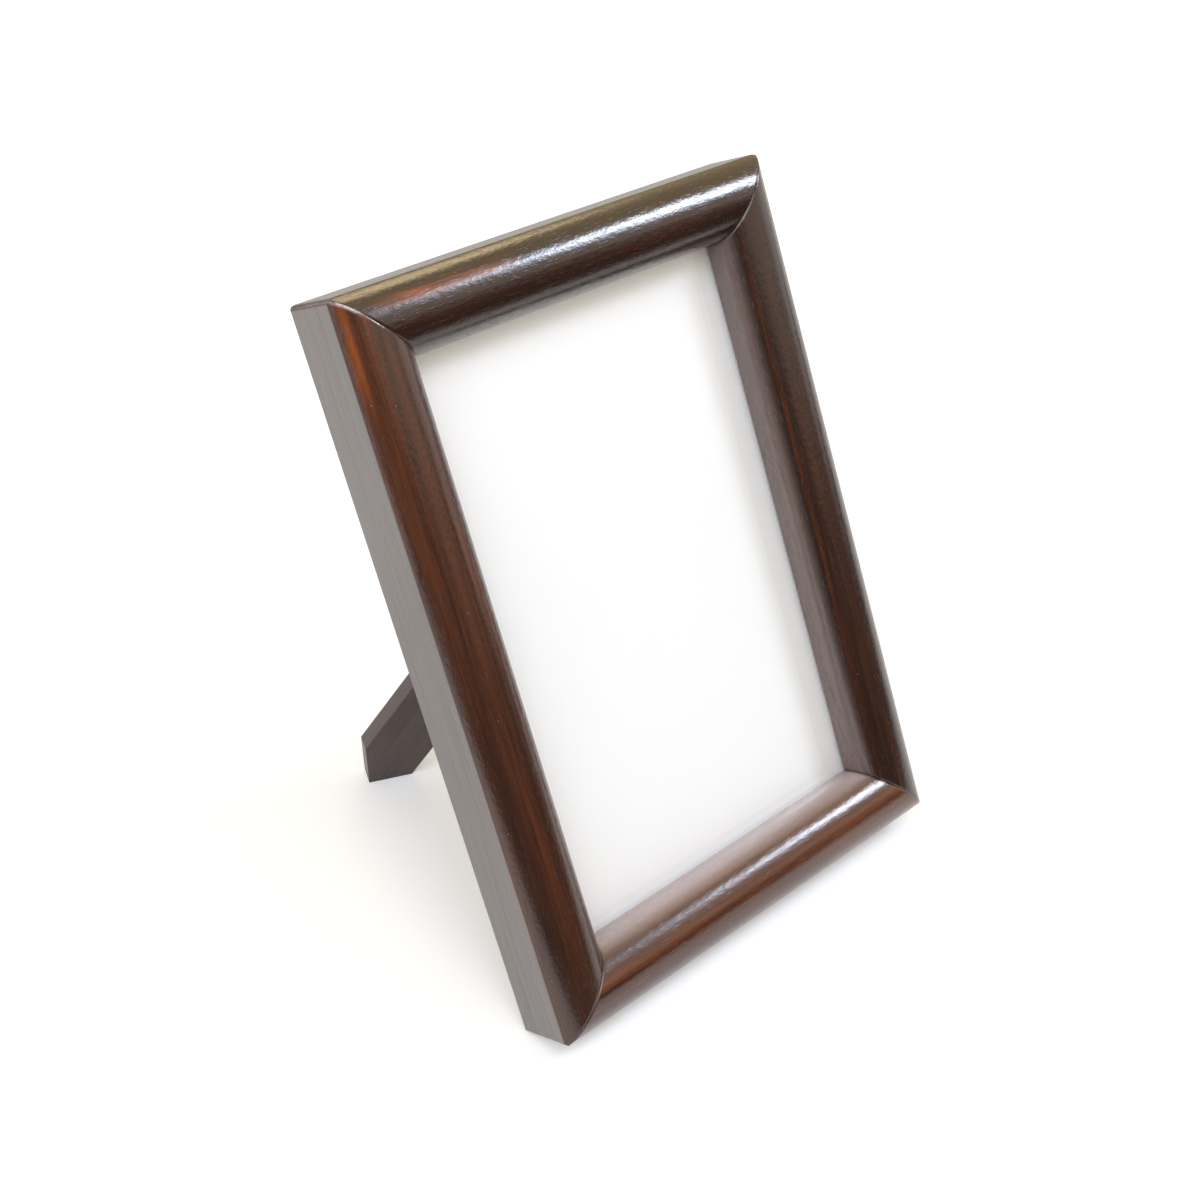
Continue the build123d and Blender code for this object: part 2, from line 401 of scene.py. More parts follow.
@dataclass(frozen=True)
class Axes:
    """A right-handed set of axes that a finish is laid out on.

    Attributes:
        origin: Where its coordinates are zero.
        along: The way that grain or brushing runs.
        across: The way across the piece.
        out: The way out of its face.
    """

    origin: Vector
    along: Vector
    across: Vector
    out: Vector

    def position(self, graph: Graph) -> Value:
        """Gives a surface point in these axes.

        Args:
            graph: The graph of the finish.

        Returns:
            The position as (along, across, out).
        """
        turn = Matrix((self.along, self.across, self.out)).transposed().to_euler()
        sockets = {"Vector": graph.place(), "Location": self.origin, "Rotation": turn}
        node = graph.node("ShaderNodeMapping", {"vector_type": "TEXTURE"}, sockets)
        return Value(graph, node.outputs["Vector"])


@dataclass(frozen=True)
class Mahogany:
    """Dark stained mahogany under satin lacquer.

    Attributes:
        shadow: The darkest streaks.
        heart: The main colour.
        glow: The light streaks that show through the lacquer.
        flame: The orange of its lightest streaks.
        dust_and_sheen: The grey painted on a flat outer side as the sheen of its lacquer, and the
            dull cast over the leg.
        pale_cast: The pale colour painted on the slope next to the glass as its reflection of the
            white sheet.
        rubbed_and_glint: The pale of bare wood at the small chips, also the colour of the glint
            painted on a mitre ridge.
        gloss: Roughness of the lacquer on a fresh face.
        coat: How much clear coat lies on top.
        shine: How strongly the lacquer under that mirrors its surroundings.
        ridge_width: How far from a sanded ridge its rounding reaches.
        ridge_drop: How deep the rounding is, next to the relief of the lacquer.
        tones: Where the shadow, the heart and the glow lie on the scale of the figure's tone.
        base_tone: How far the scale is shifted for every piece.
        bands: The broad bands of the figure.
        streaks: The streaks in the bands.
        fibres: The finest lines.
        pore_layer: The noise whose peaks are the pores.
        pore_span: Where a peak starts and where it is a whole pore.
        pore_stain: How dark a pore is.
        pore_gloss: How much duller it is.
        pore_dip: How deep it is, next to the relief of the lacquer.
        patches: The uneven gloss of the lacquer.
        peel: Its orange peel.
        waves: Its longer waves.
        ridges: The grain that shows through it.
        relief: What a height of 1 stands for.
    """

    shadow: Colour = (0.020, 0.0085, 0.0055)
    heart: Colour = (0.052, 0.0165, 0.0080)
    glow: Colour = (0.130, 0.0370, 0.0115)
    flame: Colour = (0.340, 0.078, 0.011)
    dust_and_sheen: Colour = (0.165, 0.166, 0.168)
    pale_cast: Colour = (0.400, 0.315, 0.295)
    rubbed_and_glint: Colour = (0.520, 0.460, 0.400)
    gloss: float = 0.21
    coat: float = 0.2
    shine: float = 0.75
    ridge_width: float = 0.9 * MILLIMETRE
    ridge_drop: float = 1.8
    tones: tuple[float, float, float] = (0.36, 0.52, 0.72)
    base_tone: float = -0.03
    bands: Layer = Layer(9, 210, 4, 0.55, 0.4, weight=0.5)
    streaks: Layer = Layer(24, 1000, 3, 0.6, weight=0.36)
    fibres: Layer = Layer(70, 3600, 2, 0.5, weight=0.2)
    pore_layer: Layer = Layer(320, 5200, 1, 0.4)
    pore_span: Pair = (0.63, 0.74)
    pore_stain: float = 0.7
    pore_gloss: float = 0.15
    pore_dip: float = 0.08
    patches: Layer = Layer(45, 110, 3, 0.5, weight=0.1)
    peel: Layer = Layer(650, 1100, 2, 0.6, weight=0.45)
    waves: Layer = Layer(120, 380, 2, 0.5, weight=0.35)
    ridges: Layer = Layer(60, 1800, 2, 0.5, weight=0.08)
    relief: float = 0.14 * MILLIMETRE

    def grain(
        self, graph: Graph, place: Value, seed: float, tone_and_shade: float = 0.0
    ) -> tuple[Value, Value]:
        """Draws the figure and the open pores.

        Args:
            graph: The graph of the finish.
            place: The position as (along, across, out).
            seed: Sets one piece's figure apart from the next.
            tone_and_shade: How far the piece is lighter or darker than the rest, about -0.2 to 0.1;
                on the rails it is partly the wood's own tone and partly painted light and shade.

        Returns:
            The wood's colour and a mask of its pores.
        """
        bands, streaks, fibres = (
            layer.draw(graph, place, seed) for layer in (self.bands, self.streaks, self.fibres)
        )
        tone = bands + streaks + fibres + (tone_and_shade + self.base_tone)
        stops = tuple(zip(self.tones, (self.shadow, self.heart, self.glow)))
        colour = graph.ramp(tone, stops)
        pores = self.pore_layer.draw(graph, place, seed).rise(*self.pore_span)
        return graph.blend(pores * self.pore_stain, colour, self.shadow), pores

    def lacquer(
        self, graph: Graph, place: Value, pores: Value, seed: float, edge: Value | None = None
    ) -> tuple[Value, Value]:
        """Gives the lacquer its uneven gloss and its relief.

        Args:
            graph: The graph of the finish.
            place: The position as (along, across, out).
            pores: The mask of the pores.
            seed: Sets one piece apart from the next.
            edge: The distance from a ridge that is sanded round, if there is one.

        Returns:
            The roughness and the shading normal.
        """
        patches, peel, waves, ridges = (
            layer.draw(graph, place, seed)
            for layer in (self.patches, self.peel, self.waves, self.ridges)
        )
        roughness = patches + pores * self.pore_gloss + (self.gloss - self.patches.weight / 2)
        height = peel + waves + ridges - pores * self.pore_dip
        if edge is not None:
            fall = (1.0 - edge / self.ridge_width).at_least(0.0)
            height = height - fall * fall * self.ridge_drop
        return roughness, graph.relief(height, self.relief)


@dataclass(frozen=True)
class SapStreak:
    """A lighter streak of wood that runs along a rail.

    Attributes:
        along: Where its middle is, from the rail's middle.
        inward: How far in from the rail's outer edge it runs.
        length: How long it is.
        width: How wide it is.
        strength: How clearly it shows.
        soft_sides: Where it ends and where it is full, as shares of its width.
        soft_ends: The same along it, as shares of its length.
    """

    along: float
    inward: float
    length: float
    width: float
    strength: float = 0.8
    soft_sides: Pair = (0.7, 0.1)
    soft_ends: Pair = (0.5, 0.15)

    def mask(self, along: Value, inward: Value, wander: Value) -> Value:
        """Draws the streak.

        Args:
            along: The place along the rail.
            inward: The place in from its outer edge.
            wander: Soft noise that bends the streak's sides.

        Returns:
            How much of the streak shows.
        """
        bend = (wander - 0.5) * self.width
        sides = (self.width * share for share in self.soft_sides)
        ends = (self.length * share for share in self.soft_ends)
        beside = abs(inward + bend - self.inward).rise(*sides)
        extent = abs(along - self.along).rise(*ends)
        return extent * beside * self.strength


@dataclass(frozen=True)
class RailMarks:
    """What sets one rail apart from the others.

    Attributes:
        tone_and_shade: How far it is lighter or darker than the other rails, partly the wood's own
            tone and partly painted light and shade.
        streaks: The lighter streaks in it.
        glint_end: 1 or -1 for the end whose mitre ridge gets a painted glint, or 0 for neither.
        painted_reflection: How strongly the white sheet's reflection is painted on the slope next
            to the glass.
        side_sheen: How much clear coat is left on the flat outer side.
    """

    tone_and_shade: float
    streaks: tuple[SapStreak, ...] = ()
    glint_end: int = 0
    painted_reflection: float = 0.3
    side_sheen: float = 1.0


@dataclass(frozen=True)
class RailFinish:
    """Lacquered mahogany on one length of the moulding, with its mitres, sanded ridges and chips,
    and the sheen, reflection and glint painted on it.

    Each span gives the place where a mark is nil and the place where it is full.

    Attributes:
        wood: The wood and its lacquer.
        half_length: From the rail's middle to its outer corner.
        seed: Sets one rail's figure apart from the next.
        marks: What sets this rail apart from the others.
        wander: The noise that breaks streaks and rubbing up.
        streak_breaks: The part of that noise in which a streak comes up.
        glint_breaks: The part in which the glint painted on a mitre ridge comes up.
        front: The rounded front, as depths out of the back plane.
        side: The flat outer side, in from the outer edge.
        sheen_streaks: The lengthwise streaks in the grey sheen painted on it.
        sheen_breaks: The part of them in which the painted sheen is strongest.
        sheen_film: How much painted sheen there is where it is weakest, and how much more at most.
        reflecting_slope: The slope next to the glass, in from the outer edge, where that reflection
            is painted.
        seam: The line of the mitre, off its middle.
        seam_strength: How dark it is.
        glint_seam: The painted glint along the rounded mitre ridge, off its middle.
        glint_half: Where on the rail's half it starts to show, from the rail's middle.
        glint_inner_end: Where it ends, in from the outer edge.
        glint_outer_end: Where it starts, in from the outer edge.
        specks: Small chips to the metre.
        speck_size: Their size, as a share of their spacing.
        speck_strength: How pale they are.
        coat_roughness: Roughness of the clear coat.
        bare_side: How much rougher the side is without a clear coat.
        coated_side: How much of that a whole coat takes back.
    """

    wood: Mahogany
    half_length: float
    seed: float
    marks: RailMarks
    wander: Layer = Layer(30, 500, 3, 0.6)
    streak_breaks: Pair = (0.3, 0.6)
    glint_breaks: Pair = (0.35, 0.5)
    front: Pair = (5 * MILLIMETRE, 9 * MILLIMETRE)
    side: Pair = (0.12 * MILLIMETRE, 0.03 * MILLIMETRE)
    sheen_streaks: Layer = Layer(25, 1500, 3, 0.6)
    sheen_breaks: Pair = (0.1, 0.7)
    sheen_film: Pair = (0.24, 0.4)
    reflecting_slope: Pair = (15 * MILLIMETRE, 18 * MILLIMETRE)
    seam: Pair = (0.16 * MILLIMETRE, 0.04 * MILLIMETRE)
    seam_strength: float = 0.45
    glint_seam: Pair = (0.45 * MILLIMETRE, 0.1 * MILLIMETRE)
    glint_half: Pair = (0, 10 * MILLIMETRE)
    glint_inner_end: Pair = (6 * MILLIMETRE, 4 * MILLIMETRE)
    glint_outer_end: Pair = (0, 1.5 * MILLIMETRE)
    specks: float = 150
    speck_size: Pair = (0.03, 0.015)
    speck_strength: float = 0.3
    coat_roughness: float = 0.15
    bare_side: float = 0.45
    coated_side: float = 0.3

    def material(self, name: str, axes: Axes) -> bpy.types.Material:
        """Makes the rail's material.

        Args:
            name: The material's name.
            axes: Along the rail, inwards from its outer edge, and out of the picture.

        Returns:
            The material.
        """
        graph = Graph.for_material(name)
        place = axes.position(graph)
        along, inward, out = graph.split(place)
        colour, pores = self.wood.grain(graph, place, self.seed, self.marks.tone_and_shade)
        mitre = self.half_length - abs(along) - inward
        roughness, normal = self.wood.lacquer(graph, place, pores, self.seed, mitre)
        wander = self.wander.draw(graph, place, self.seed)
        front = out.rise(*self.front)
        for streak in self.marks.streaks:
            mask = streak.mask(along, inward, wander) * wander.rise(*self.streak_breaks) * front
            colour = graph.blend(mask, colour, self.wood.flame)
        # Painted sheen: the flat outer side is greyed in lengthwise streaks, in place of the
        # reflection that its lacquer shows.
        side = inward.rise(*self.side)
        thin, more = self.sheen_film
        sheen_streaks = self.sheen_streaks.draw(graph, place, self.seed).rise(*self.sheen_breaks)
        colour = graph.blend(side * (sheen_streaks * more + thin), colour, self.wood.dust_and_sheen)
        # Painted reflection: the slope next to the glass is paled towards the white sheet that it
        # mirrors.
        reflecting_slope = inward.rise(*self.reflecting_slope)
        colour = graph.blend(reflecting_slope * self.marks.painted_reflection, colour, self.wood.pale_cast)
        seam = mitre.rise(*self.seam)
        colour = graph.blend(seam * self.seam_strength, colour, self.wood.shadow)
        # Painted glint: a pale line on one end's mitre ridge near the outer corner, where the
        # rounded ridge catches the light.
        if self.marks.glint_end:
            near = mitre.rise(*self.glint_seam)
            half = (along * self.marks.glint_end).rise(*self.glint_half)
            reach = inward.rise(*self.glint_inner_end) * inward.rise(*self.glint_outer_end)
            painted_glint = near * half * reach * front * wander.rise(*self.glint_breaks)
            colour = graph.blend(painted_glint, colour, self.wood.rubbed_and_glint)
        specks = graph.scatter(graph.stretched(place, (self.specks,) * 3, self.seed))
        chips = specks.rise(*self.speck_size) * self.speck_strength
        sheen = self.marks.side_sheen
        return graph.finish(
            {
                "Base Color": graph.blend(chips, colour, self.wood.rubbed_and_glint),
                "Roughness": roughness + side * (self.bare_side - self.coated_side * sheen),
                "Coat Weight": self.wood.coat + side * (sheen - self.wood.coat),
                "Coat Roughness": self.coat_roughness,
                "Specular IOR Level": self.wood.shine,
                "Normal": normal,
            }
        )


@dataclass(frozen=True)
class LegFinish:
    """The same wood on the leg, with a thinner and duller coat.

    Attributes:
        wood: The wood and its lacquer.
        seed: Sets the leg's figure apart from the rails'.
        pale_cast: The dull cast over it.
        dullness: How much rougher its lacquer is than the rails'.
        coat_roughness: Roughness of its clear coat.
    """

    wood: Mahogany
    seed: float
    pale_cast: Layer = Layer(40, 160, 3, 0.5, weight=0.4)
    dullness: float = 0.14
    coat_roughness: float = 0.3

    def material(self, name: str, axes: Axes) -> bpy.types.Material:
        """Makes the leg's material.

        Args:
            name: The material's name.
            axes: Down the leg, across it, and out of its rear face.

        Returns:
            The material.
        """
        graph = Graph.for_material(name)
        place = axes.position(graph)
        colour, pores = self.wood.grain(graph, place, self.seed)
        roughness, normal = self.wood.lacquer(graph, place, pores, self.seed)
        pale_cast = self.pale_cast.draw(graph, place, self.seed)
        return graph.finish(
            {
                "Base Color": graph.blend(pale_cast, colour, self.wood.dust_and_sheen),
                "Roughness": roughness + self.dullness,
                "Coat Weight": self.wood.coat,
                "Coat Roughness": self.coat_roughness,
                "Normal": normal,
            }
        )


@dataclass(frozen=True)
class FloatGlass:
    """Clear picture glass: it mirrors its surroundings and lets light through to the print.

    Attributes:
        tint: The faint colour of the pane.
        index: How strongly it bends light.
        smears: The faint smears of its last wipe.
        polish: Its roughness between the smears.
    """

    tint: Colour = (0.995, 0.995, 0.988)
    index: float = 1.5
    smears: Layer = Layer(40, 40, 3, 0.6, weight=0.03)
    polish: float = 0.005

    def material(self, name: str) -> bpy.types.Material:
        """Makes the glass.

        Args:
            name: The material's name.

        Returns:
            The material.
        """
        graph = Graph.for_material(name)
        tint = (*self.tint, 1.0)
        sockets = {
            "Base Color": tint,
            "Roughness": self.smears.draw(graph, graph.place()) + self.polish,
            "IOR": self.index,
            "Transmission Weight": 1.0,
        }
        glass = graph.shader("ShaderNodeBsdfPrincipled", sockets)
        clear = graph.shader("ShaderNodeBsdfTransparent", {"Color": tint})
        through = graph.seen_by("Is Shadow Ray", "Is Diffuse Ray")
        return graph.end("ShaderNodeOutputMaterial", graph.either(through, glass, clear))


@dataclass(frozen=True)
class Sheet:
    """Paper, card or board: a flat colour broken by fibres.

    Attributes:
        colour: The sheet's own colour.
        fibre: The colour of its fibres and mottling.
        mottling: How much of the fibre colour shows.
        fibres: Fibres to the metre across the sheet.
        roughness: How dull it is.
        relief: The height of its surface texture.
        fibre_stretch: How much less often a fibre repeats along the sheet than across it.
        clouds: The soft mottling over them.
        cloud_share: How much of the pattern is mottling; the rest is fibres.
        pattern_span: Where the pattern starts to show and where it is full.
        dullness: How much its roughness varies.
    """

    colour: Colour
    fibre: Colour
    mottling: float
    fibres: float
    roughness: float
    relief: float
    fibre_stretch: float = 0.3
    clouds: Layer = Layer(60, 60, 3, 0.5, shift=7.0)
    cloud_share: float = 0.3
    pattern_span: Pair = (0.35, 0.68)
    dullness: float = 0.1

    def material(self, name: str, axes: Axes) -> bpy.types.Material:
        """Makes the sheet's material.

        Args:
            name: The material's name.
            axes: Along the sheet, across it, and out of it.

        Returns:
            The material.
        """
        graph = Graph.for_material(name)
        place = axes.position(graph)
        along = self.fibres * self.fibre_stretch
        felt = Layer(along, self.fibres, 4, 0.65, 1.2, shift=3.0).draw(graph, place)
        clouds = self.clouds.draw(graph, place)
        pattern = felt * (1 - self.cloud_share) + clouds * self.cloud_share
        mask = pattern.rise(*self.pattern_span) * self.mottling
        return graph.finish(
            {
                "Base Color": graph.blend(mask, self.colour, self.fibre),
                "Roughness": clouds * self.dullness + (self.roughness - self.dullness / 2),
                "Normal": graph.relief(felt, self.relief),
            }
        )


@dataclass(frozen=True)
class Metal:
    """Small stamped or turned hardware, brushed and lightly tarnished.

    Attributes:
        colour: The clean metal.
        tarnish: The dull film over it.
        film: How much of the film there is.
        roughness: Roughness of the clean metal.
        brushing: The marks of the brush.
        brush_gloss: How much the roughness varies with them.
        stains: The stains that the film is thickest in.
        stain_span: Where a stain starts to show and where it is full.
        stain_relief: The height of a stain next to that of the brushing.
        film_cover: How much of the metal's mirror a whole film hides.
        film_gloss: How much rougher it is.
        relief: The height of the brushing.
    """

    colour: Colour
    tarnish: Colour
    film: float
    roughness: float
    brushing: Layer = Layer(500, 9000, 2, 0.6, shift=1.0)
    brush_gloss: float = 0.14
    stains: Layer = Layer(350, 350, 4, 0.6, 0.5, shift=5.0)
    stain_span: Pair = (0.4, 0.7)
    stain_relief: float = 0.6
    film_cover: float = 0.4
    film_gloss: float = 0.25
    relief: float = 0.012 * MILLIMETRE

    def material(self, name: str, axes: Axes) -> bpy.types.Material:
        """Makes the metal.

        Args:
            name: The material's name.
            axes: Along the brushing, across it, and out of the face.

        Returns:
            The material.
        """
        graph = Graph.for_material(name)
        place = axes.position(graph)
        brushing = self.brushing.draw(graph, place)
        stains = self.stains.draw(graph, place)
        film = stains.rise(*self.stain_span) * self.film
        clean = brushing * self.brush_gloss + (self.roughness - self.brush_gloss / 2)
        return graph.finish(
            {
                "Base Color": graph.blend(film, self.colour, self.tarnish),
                "Metallic": 1.0 - film * self.film_cover,
                "Roughness": clean + film * self.film_gloss,
                "Normal": graph.relief(brushing + stains * self.stain_relief, self.relief),
            }
        )


BRASS = Metal((0.78, 0.56, 0.26), tarnish=(0.30, 0.19, 0.08), film=0.45, roughness=0.28)
STEEL = Metal((0.56, 0.56, 0.57), tarnish=(0.16, 0.13, 0.11), film=0.5, roughness=0.34)
PRINT_PAPER = Sheet(
    (0.92, 0.925, 0.95), (0.89, 0.895, 0.92), 0.5, 2500, roughness=0.45, relief=0.01 * MILLIMETRE
)
GREY_CARD = Sheet(
    (0.33, 0.31, 0.28), (0.2, 0.18, 0.16), 0.8, 1400, roughness=0.9, relief=0.06 * MILLIMETRE
)
HARDBOARD = Sheet(
    (0.085, 0.045, 0.028), (0.03, 0.016, 0.011), 0.9, 1300, roughness=0.55, relief=0.05 * MILLIMETRE
)


def dress(node: bpy.types.Object, material: bpy.types.Material) -> None:
    """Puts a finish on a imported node.

    Args:
        node: The node's object, whose mesh stays as it is.
        material: The finish.
    """
    if not node.material_slots:
        node.data.materials.append(material)
    for slot in node.material_slots:
        slot.material = material
    LOG.info("%s: %s", node.name, material.name)


@dataclass
class Stance:
    """How the frame stands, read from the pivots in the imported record.

    Attributes:
        joints: The record's joints by name.
        middle: The middle of the back plane.
        front: The way out of the picture.
        up: The way up the frame, which leans back.
        hinge_axis: The way along the hinge's pin.
        hinge_point: The hinge's own place.
        leg_down: The way down the opened leg.
    """

    joints: dict[str, dict]
    middle: Vector = field(init=False)
    front: Vector = field(init=False)
    up: Vector = field(init=False)
    hinge_axis: Vector = field(init=False)
    hinge_point: Vector = field(init=False)
    leg_down: Vector = field(init=False)

    def __post_init__(self) -> None:
        """Works the directions out from the turn buttons' pivots and the leg's hinge."""
        left, right = (self.joints[f"button_{side}_swivel"] for side in ("left", "right"))
        self.middle = (Vector(left["pos_m"]) + Vector(right["pos_m"])) / 2
        self.front = -Vector(left["axis"]).normalized()
        self.up = self.front.cross(Vector((1, 0, 0)))
        hinge = self.joints["leg_hinge"]
        self.hinge_axis = Vector(hinge["axis"]).normalized()
        self.hinge_point = Vector(hinge["pos_m"])
        opening = math.radians(-hinge["range_deg"][0])
        folded = self.front.cross(self.hinge_axis)
        if folded.z > 0:
            folded.negate()
        self.leg_down = folded * math.cos(opening) - self.front * math.sin(opening)

    def face_axes(self) -> Axes:
        """Returns axes on the back plane: up the frame, across it and out of the picture."""
        return Axes(self.middle, self.up, self.front.cross(self.up), self.front)

    def leg_axes(self) -> Axes:
        """Returns axes on the leg: down it, across it and out of its rear face."""
        across = self.hinge_axis
        return Axes(self.hinge_point, self.leg_down, across, self.leg_down.cross(across))

    def hinge_axes(self) -> Axes:
        """Returns axes with the hinge's brushing along its pin."""
        out = self.hinge_axis.cross(self.leg_down)
        return Axes(self.hinge_point, self.hinge_axis, self.leg_down, out)


@dataclass
class MouldingFrame:
    """The four mitred lengths of rounded moulding.

    Attributes:
        width: Outside width of the frame.
        height: Outside height of the frame.
        wood: The wood and its lacquer.
        rails: Which side each rail's node is on.
        marks: What sets each rail apart from the others.
        seed_step: How far one rail's figure is from the next one's.
    """

    width: float = 0.131
    height: float = 0.181
    wood: Mahogany = Mahogany()
    rails: dict[str, RailSide] = field(
        default_factory=lambda: {
            "bottom_rail": RailSide.BOTTOM,
            "right_stile": RailSide.RIGHT,
            "top_rail": RailSide.TOP,
            "left_stile": RailSide.LEFT,
        }
    )
    marks: dict[RailSide, RailMarks] = field(
        default_factory=lambda: {
            # The first number is partly painted light and shade: the bottom rail, which faces up,
            # is painted lighter, and the top rail, whose inner slope faces down, darker.
            RailSide.BOTTOM: RailMarks(0.08, painted_reflection=0.95, side_sheen=0.2),
            RailSide.RIGHT: RailMarks(-0.11, (SapStreak(0.01, 0.0146, 0.170, 0.0012, 0.15),)),
            RailSide.TOP: RailMarks(
                -0.17, (SapStreak(0.038, 0.0045, 0.050, 0.0028),), glint_end=1, side_sheen=0.35
            ),
            RailSide.LEFT: RailMarks(
                0.01,
                (
                    SapStreak(-0.088, 0.0014, 0.056, 0.0018),
                    SapStreak(0.015, 0.0078, 0.16, 0.0042, 0.12),
                ),
                glint_end=-1,
            ),
        }
    )
    seed_step: float = 11.3

    def rail_axes(self, stance: Stance, side: RailSide) -> Axes:
        """Gives one rail's own axes.

        Args:
            stance: How the frame stands.
            side: Which side the rail is on.

        Returns:
            Axes along the rail, inwards from its outer edge, and out of the picture.
        """
        sideways, upright = side.value
        outward = Vector((1, 0, 0)) * sideways + stance.up * upright
        reach = self.width / 2 if sideways else self.height / 2
        origin = stance.middle + outward * reach
        inward = -outward
        return Axes(origin, inward.cross(stance.front), inward, stance.front)

    def dress(self, nodes: dict[str, bpy.types.Object], stance: Stance) -> None:
        """Gives each rail its finish.

        Args:
            nodes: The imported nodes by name.
            stance: How the frame stands.
        """
        for number, (name, side) in enumerate(self.rails.items()):
            half_length = self.height / 2 if side.value[0] else self.width / 2
            seed = self.seed_step * (number + 1)
            finish = RailFinish(self.wood, half_length, seed, self.marks[side])
            dress(nodes[name], finish.material(f"mahogany_{name}", self.rail_axes(stance, side)))


@dataclass
class GlazedPrint:
    """The glass, the blank sheet behind it and the card that backs it."""

    glass: FloatGlass = FloatGlass()
    paper: Sheet = PRINT_PAPER
    card: Sheet = GREY_CARD

    def dress(self, nodes: dict[str, bpy.types.Object], stance: Stance) -> None:
        """Gives the glass, the sheet and the card their finishes.

        Args:
            nodes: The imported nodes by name.
            stance: How the frame stands.
        """
        dress(nodes["glazing"], self.glass.material("picture_glass"))
        dress(nodes["blank_print"], self.paper.material("print_paper", stance.face_axes()))
        dress(nodes["backing_card"], self.card.material("grey_card", stance.face_axes()))


@dataclass
class BackClosure:
    """The back board, the turn buttons that hold it in, and the nails across the mitres."""

    board: Sheet = HARDBOARD
    button_metal: Metal = BRASS
    nail_metal: Metal = STEEL

    def dress(self, nodes: dict[str, bpy.types.Object], stance: Stance) -> None:
        """Gives the board, the buttons, their screws and the nails their finishes.

        Args:
            nodes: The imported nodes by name.
            stance: How the frame stands.
        """
        axes = stance.face_axes()
        dress(nodes["back_board"], self.board.material("stained_hardboard", axes))
        brass = self.button_metal.material("turn_button_brass", axes)
        steel = self.nail_metal.material("nail_steel", axes)
        for name, node in nodes.items():
            if name.startswith("turn_button"):
                dress(node, brass)
            elif name.startswith("v_nail"):
                dress(node, steel)


@dataclass
class EaselStand:
    """The slanted leg and the butt hinge that it folds on."""

    wood: Mahogany = Mahogany(heart=(0.062, 0.026, 0.016), glow=(0.15, 0.06, 0.028))
    seed: float = 71.7
    hinge_metal: Metal = BRASS
    pin_metal: Metal = STEEL

    def dress(self, nodes: dict[str, bpy.types.Object], stance: Stance) -> None:
        """Gives the leg, the hinge and its screws their finishes.

        Args:
            nodes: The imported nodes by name.
            stance: How the frame stands.
        """
        leg = LegFinish(self.wood, self.seed)
        dress(nodes["easel_leg"], leg.material("mahogany_easel_leg", stance.leg_axes()))
        brass = self.hinge_metal.material("hinge_brass", stance.hinge_axes())
        for name, node in nodes.items():
            if name.startswith("hinge_") and name != "hinge_pin" or "leaf_screw" in name:
                dress(node, brass)
        dress(nodes["hinge_pin"], self.pin_metal.material("pin_steel", stance.hinge_axes()))


@dataclass(frozen=True)
class SoftBox:
    """A square soft light that faces the frame.

    Attributes:
        name: The lamp's name.
        azimuth: Its direction round the frame in degrees, 0 in front and 90 to the right.
        elevation: Its height above the horizon in degrees.
        distance: From the frame to the lamp.
        size: Its side.
        power: Its power in watts.
        colour: Its colour.
    """

    name: str
    azimuth: float
    elevation: float
    distance: float
    size: float
    power: float
    colour: Colour

    def build(self, target: Vector) -> None:
        """Makes the lamp.

        Args:
            target: The point that it faces.
        """
        light = bpy.data.lights.new(self.name, "AREA")
        light.shape = "SQUARE"
        light.size = self.size
        light.energy = self.power
        light.color = self.colour
        lamp = bpy.data.objects.new(self.name, light)
        away = direction(self.azimuth, self.elevation)
        lamp.location = target + away * self.distance
        lamp.rotation_euler = away.to_track_quat("Z", "Y").to_euler()
        bpy.context.collection.objects.link(lamp)
        LOG.info("%s: %.1f W at %.2f m", self.name, self.power, self.distance)


def direction(azimuth: float, elevation: float) -> Vector:
    """Gives the way to a place round the frame.

    Args:
        azimuth: Degrees round it, 0 in front and 90 to the right.
        elevation: Degrees above the horizon.

    Returns:
        A vector of length 1.
    """
    turn, tilt = math.radians(azimuth), math.radians(elevation)
    flat = math.cos(tilt)
    return Vector((math.sin(turn) * flat, -math.cos(turn) * flat, math.sin(tilt)))


